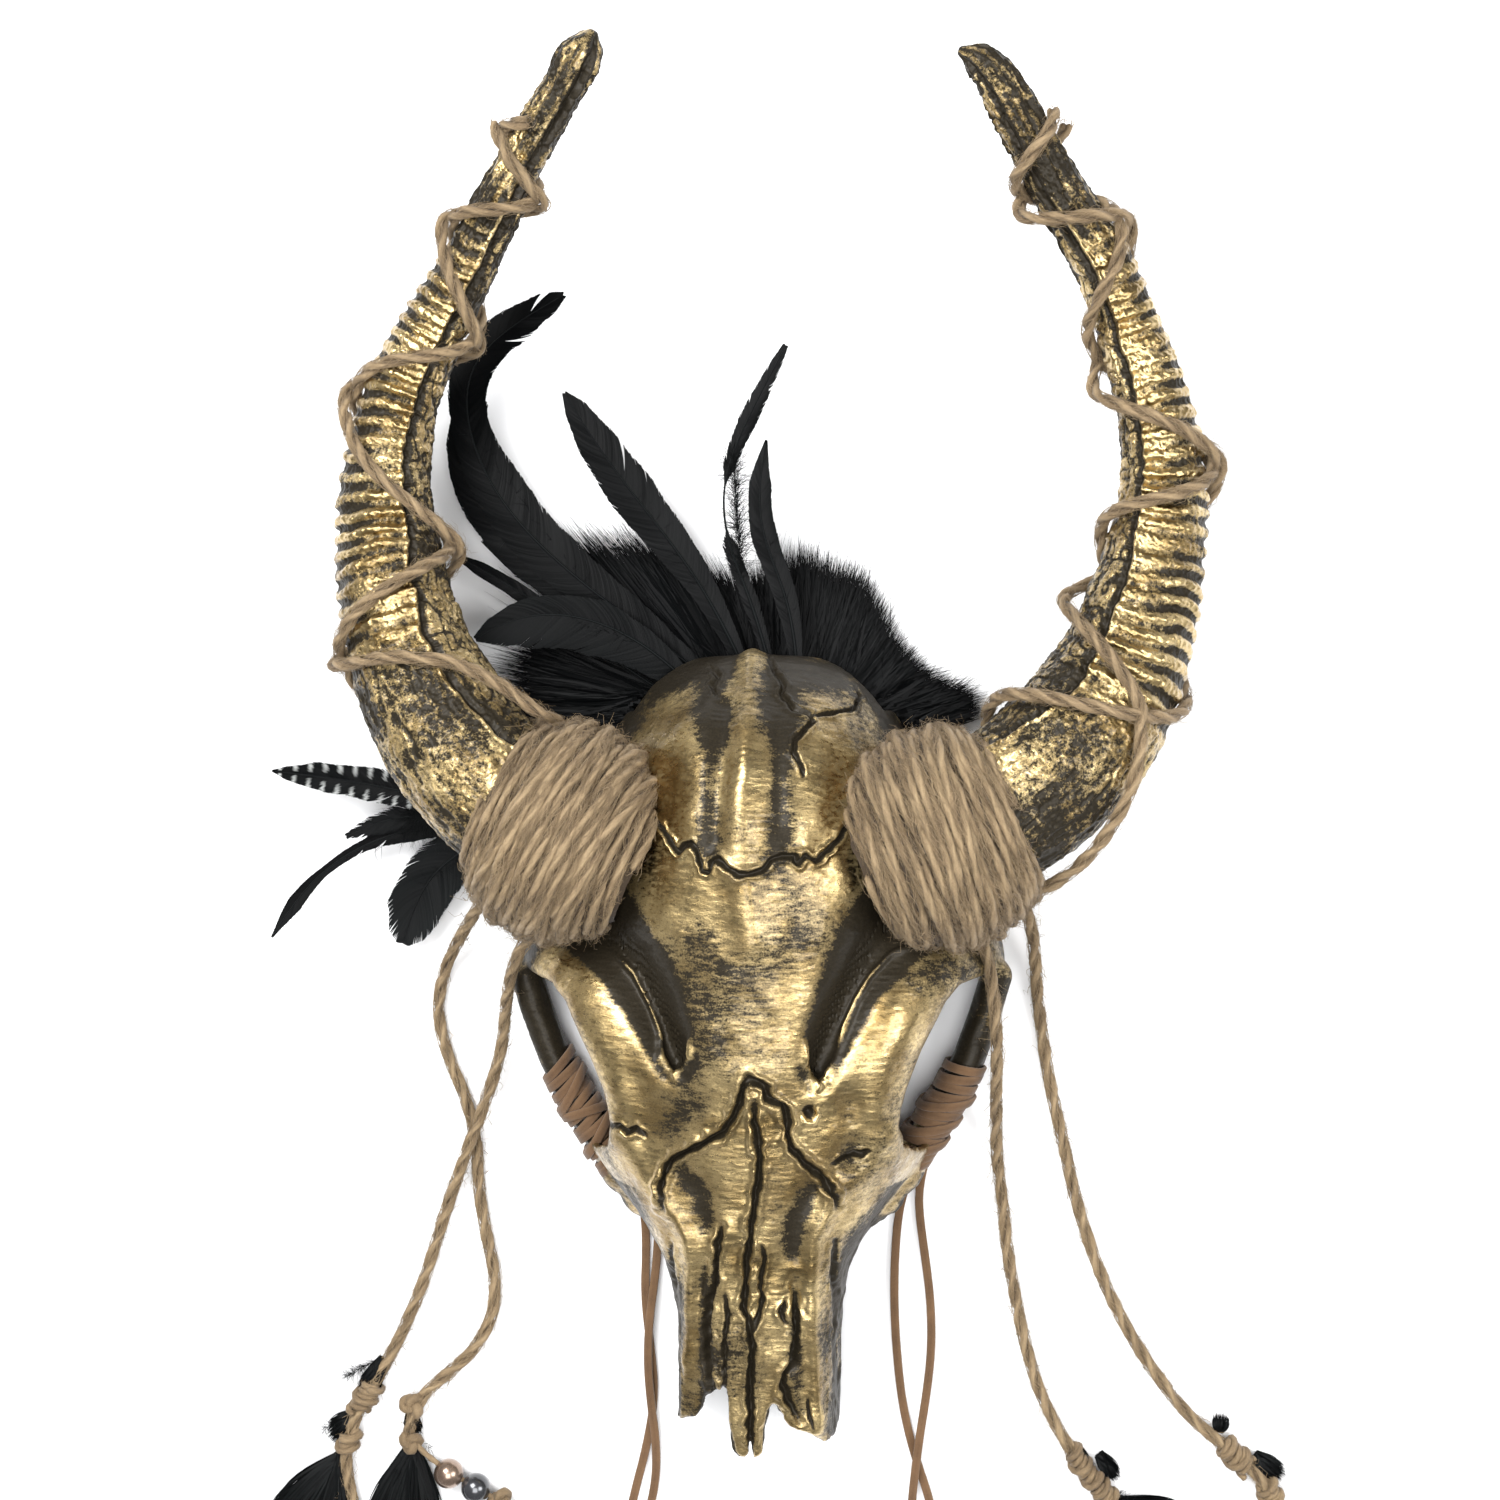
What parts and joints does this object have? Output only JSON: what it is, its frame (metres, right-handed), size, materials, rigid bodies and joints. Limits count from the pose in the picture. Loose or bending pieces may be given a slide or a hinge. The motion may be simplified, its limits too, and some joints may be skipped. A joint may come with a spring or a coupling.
{
  "type": "horned skull mask",
  "caption": "Gold horned animal-skull mask on its back, horns bound and criss-crossed with jute, with jute tails, suede lace, black feathers and beads.",
  "frame": {"origin": "on the plane the back rim rests on, at mid-width of the skull, about level with the upper edge of the horn roots", "axes": "+X across the face towards its right-hand horn as seen from the front, +Y from the muzzle towards the crown and the horn tips, +Z out of the face"},
  "size_m": [0.386, 0.5499, 0.102],
  "materials": {
    "gold_resin": "cast resin, antique gold paint brushed over black, glossy",
    "jute": "hairy two-ply twine",
    "suede": "matte brown suede lace",
    "feather": "black feather with a faint green sheen",
    "bronze_pearl": "pearl bronze",
    "gunmetal_bead": "gunmetal gloss",
    "plug_wood": "turned, unfinished",
    "steel": "zinc-plated",
    "felt": "black felt"
  },
  "bodies": {
    "mask": {"bead_cord": "jute", "bead_stop_knot": "jute", "crest_feather_1": "feather", "crest_feather_2": "feather", "crest_feather_3": "feather", "crest_feather_4": "feather", "crest_feather_5": "feather", "crest_feather_6": "feather", "crest_feather_7": "feather", "crest_feather_8": "feather", "crest_hackle_left": "feather", "crest_hackle_right": "feather", "feather_pad": "felt", "horn_screws": "steel", "horn_washers": "steel", "left_horn": "gold_resin", "left_horn_binding": "jute", "left_horn_plug": "plug_wood", "left_horn_twine_down": "jute", "left_horn_twine_up": "jute", "left_inner_knots": "jute", "left_inner_tail": "jute", "left_inner_tuft": "feather", "left_lace_inner_end": "suede", "left_lace_outer_end": "suede", "left_lace_wrap": "suede", "left_outer_knots": "jute", "left_outer_tail": "jute", "left_outer_tuft": "feather", "right_horn": "gold_resin", "right_horn_binding": "jute", "right_horn_plug": "plug_wood", "right_horn_twine_down": "jute", "right_horn_twine_up": "jute", "right_inner_knots": "jute", "right_inner_tail": "jute", "right_inner_tuft": "feather", "right_lace_inner_end": "suede", "right_lace_outer_end": "suede", "right_lace_wrap": "suede", "right_outer_knots": "jute", "right_outer_tail": "jute", "right_outer_tuft": "feather", "side_feather_1": "feather", "side_feather_2": "feather", "side_feather_3": "feather", "side_feather_4": "feather", "side_feather_pad": "felt", "skull_shell": "gold_resin"},
    "bronze_bead": {"bronze_bead": "bronze_pearl"},
    "black_bead": {"black_bead": "gunmetal_bead"}
  },
  "joints": [
    {"name": "bronze_bead_spin", "type": "hinge", "parent": "mask", "child": "bronze_bead", "pos_m": [-0.11367, -0.26204, 0.0055], "axis": [0.8895, -0.4569, 0], "continuous": true},
    {"name": "black_bead_spin", "type": "hinge", "parent": "mask", "child": "black_bead", "pos_m": [-0.1038, -0.26711, 0.0055], "axis": [0.8895, -0.4569, 0], "continuous": true}
  ]
}
